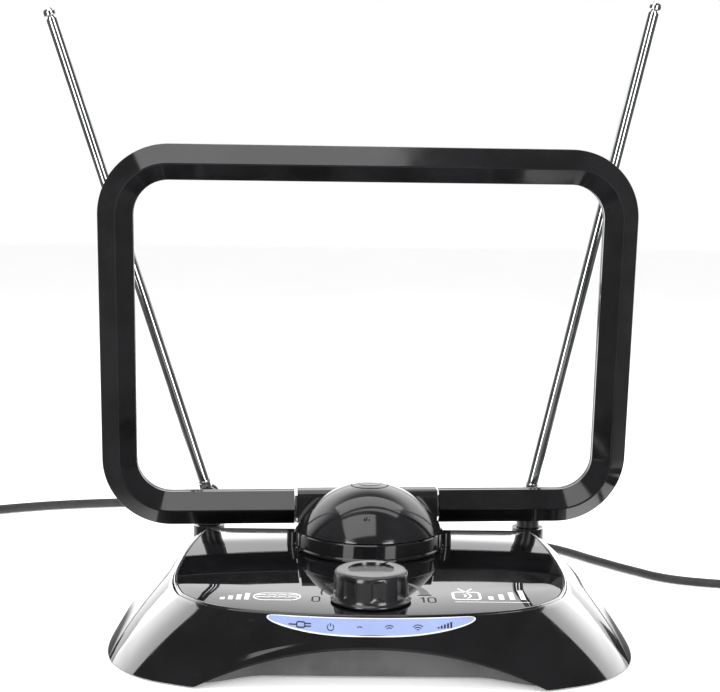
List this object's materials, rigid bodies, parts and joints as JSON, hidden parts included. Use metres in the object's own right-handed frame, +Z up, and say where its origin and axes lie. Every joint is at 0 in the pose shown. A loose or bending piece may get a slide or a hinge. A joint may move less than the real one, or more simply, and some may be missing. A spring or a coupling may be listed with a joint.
{
  "type": "rabbit ears antenna",
  "caption": "Indoor television antenna: telescopic rods on swivel posts and a tilting UHF loop on a turning hub, over a flared amplified base with a gain knob and two leads.",
  "frame": {"origin": "centre of the base's footprint, on the surface that its pad rests on", "axes": "+Z up; -Y towards the front, where the gain knob and the indicator window are; +X to the right seen from the front"},
  "size_m": [0.587, 0.3251, 0.292],
  "materials": {
    "gloss_black": "high gloss, injection moulded",
    "plate_black": "mirror gloss inlay",
    "satin_black": "satin moulded",
    "dark_grey": "fine grain moulded",
    "pad_rubber": "closed-cell foam rubber",
    "screw_steel": "zinc plated",
    "ballast_iron": "painted plate",
    "lens_blue": "milky light blue acrylic",
    "guide_clear": "clear acrylic",
    "led_white": "white package",
    "board_green": "solder mask",
    "can_tin": "tinned steel",
    "pot_metal": "zinc plated",
    "rod_chrome": "polished",
    "foot_nickel": "nickel plated",
    "cable_black": "matte PVC jacket",
    "moulding_black": "moulded PVC",
    "plug_nickel": "nickel plated",
    "element_copper": "bare strip",
    "washer_nylon": "nylon",
    "adapter_black": "fine grain moulded"
  },
  "bodies": {
    "base": {"housing": "gloss_black", "top_plate": "plate_black", "bottom_cover": "dark_grey", "base_pad": "pad_rubber", "cover_screws": "screw_steel", "ballast_plate": "ballast_iron", "ballast_screws": "screw_steel", "indicator_lens": "lens_blue", "light_guide": "guide_clear", "indicator_leds": "led_white", "circuit_board": "board_green", "screening_can": "can_tin", "board_screws": "screw_steel", "gain_pot": "pot_metal", "pot_nut": "screw_steel", "power_socket": "moulding_black", "turret_ring": "gloss_black", "turret_screws": "screw_steel", "coax_gland": "moulding_black", "coax_lead": "cable_black", "coax_coil": "cable_black", "coax_plug": "plug_nickel", "power_plug": "moulding_black", "power_lead": "cable_black", "power_coil": "cable_black", "power_adapter": "adapter_black", "adapter_blades": "plug_nickel", "lead_ties": "moulding_black"},
    "knob": {"gain_knob": "gloss_black", "pot_shaft": "pot_metal"},
    "hub": {"hub_body": "gloss_black", "hub_dome": "gloss_black", "hub_cap": "gloss_black", "hub_bolt": "screw_steel", "hub_washer": "screw_steel", "hub_nut": "screw_steel", "loop_washers": "washer_nylon"},
    "loop": {"loop_front": "gloss_black", "loop_back": "satin_black", "loop_element": "element_copper", "loop_screws": "screw_steel", "loop_pins": "screw_steel"},
    "post_left": {"post_left": "satin_black", "post_screw_left": "screw_steel", "fold_pin_left": "screw_steel"},
    "rod_left_base": {"rod_foot_left": "foot_nickel", "rod_left_1": "rod_chrome"},
    "rod_left_second": {"rod_left_2": "rod_chrome"},
    "rod_left_third": {"rod_left_3": "rod_chrome"},
    "rod_left_inner": {"rod_left_4": "rod_chrome", "rod_tip_left": "rod_chrome"},
    "post_right": {"post_right": "satin_black", "post_screw_right": "screw_steel", "fold_pin_right": "screw_steel"},
    "rod_right_base": {"rod_foot_right": "foot_nickel", "rod_right_1": "rod_chrome"},
    "rod_right_second": {"rod_right_2": "rod_chrome"},
    "rod_right_third": {"rod_right_3": "rod_chrome"},
    "rod_right_inner": {"rod_right_4": "rod_chrome", "rod_tip_right": "rod_chrome"}
  },
  "joints": [
    {"name": "hub_swivel", "type": "hinge", "parent": "base", "child": "hub", "pos_m": [0, 0.04, 0], "axis": [0, 0, 1], "range_deg": [-11.4, 2.6]},
    {"name": "loop_tilt", "type": "hinge", "parent": "hub", "child": "loop", "pos_m": [-0.00123, 0.05595, 0.045], "axis": [0.9971, 0.0767, 0], "range_deg": [-5.65, 84]},
    {"name": "gain_turn", "type": "hinge", "parent": "base", "child": "knob", "pos_m": [0, -0.0505, 0.037], "axis": [0, 0, 1], "range_deg": [-150, 150]},
    {"name": "post_swivel_left", "type": "hinge", "parent": "base", "child": "post_left", "pos_m": [-0.081, 0.08, 0.03], "axis": [0, 0, 1], "range_deg": [-90, 0]},
    {"name": "rod_fold_left", "type": "hinge", "parent": "post_left", "child": "rod_left_base", "pos_m": [-0.081, 0.08, 0.0445], "axis": [0, 1, 0], "range_deg": [-72, 18]},
    {"name": "rod_left_second_slide", "type": "slide", "parent": "rod_left_base", "child": "rod_left_second", "axis": [-0.309, 0, 0.9511], "range_m": [0, 0.2]},
    {"name": "rod_left_third_slide", "type": "slide", "parent": "rod_left_second", "child": "rod_left_third", "axis": [-0.309, 0, 0.9511], "range_m": [0, 0.2]},
    {"name": "rod_left_inner_slide", "type": "slide", "parent": "rod_left_third", "child": "rod_left_inner", "axis": [-0.309, 0, 0.9511], "range_m": [0, 0.2]},
    {"name": "post_swivel_right", "type": "hinge", "parent": "base", "child": "post_right", "pos_m": [0.081, 0.08, 0.03], "axis": [0, 0, 1], "range_deg": [0, 90]},
    {"name": "rod_fold_right", "type": "hinge", "parent": "post_right", "child": "rod_right_base", "pos_m": [0.081, 0.08, 0.0445], "axis": [0, 1, 0], "range_deg": [-13, 77]},
    {"name": "rod_right_second_slide", "type": "slide", "parent": "rod_right_base", "child": "rod_right_second", "axis": [0.225, 0, 0.9744], "range_m": [0, 0.2]},
    {"name": "rod_right_third_slide", "type": "slide", "parent": "rod_right_second", "child": "rod_right_third", "axis": [0.225, 0, 0.9744], "range_m": [0, 0.2]},
    {"name": "rod_right_inner_slide", "type": "slide", "parent": "rod_right_third", "child": "rod_right_inner", "axis": [0.225, 0, 0.9744], "range_m": [0, 0.2]}
  ]
}
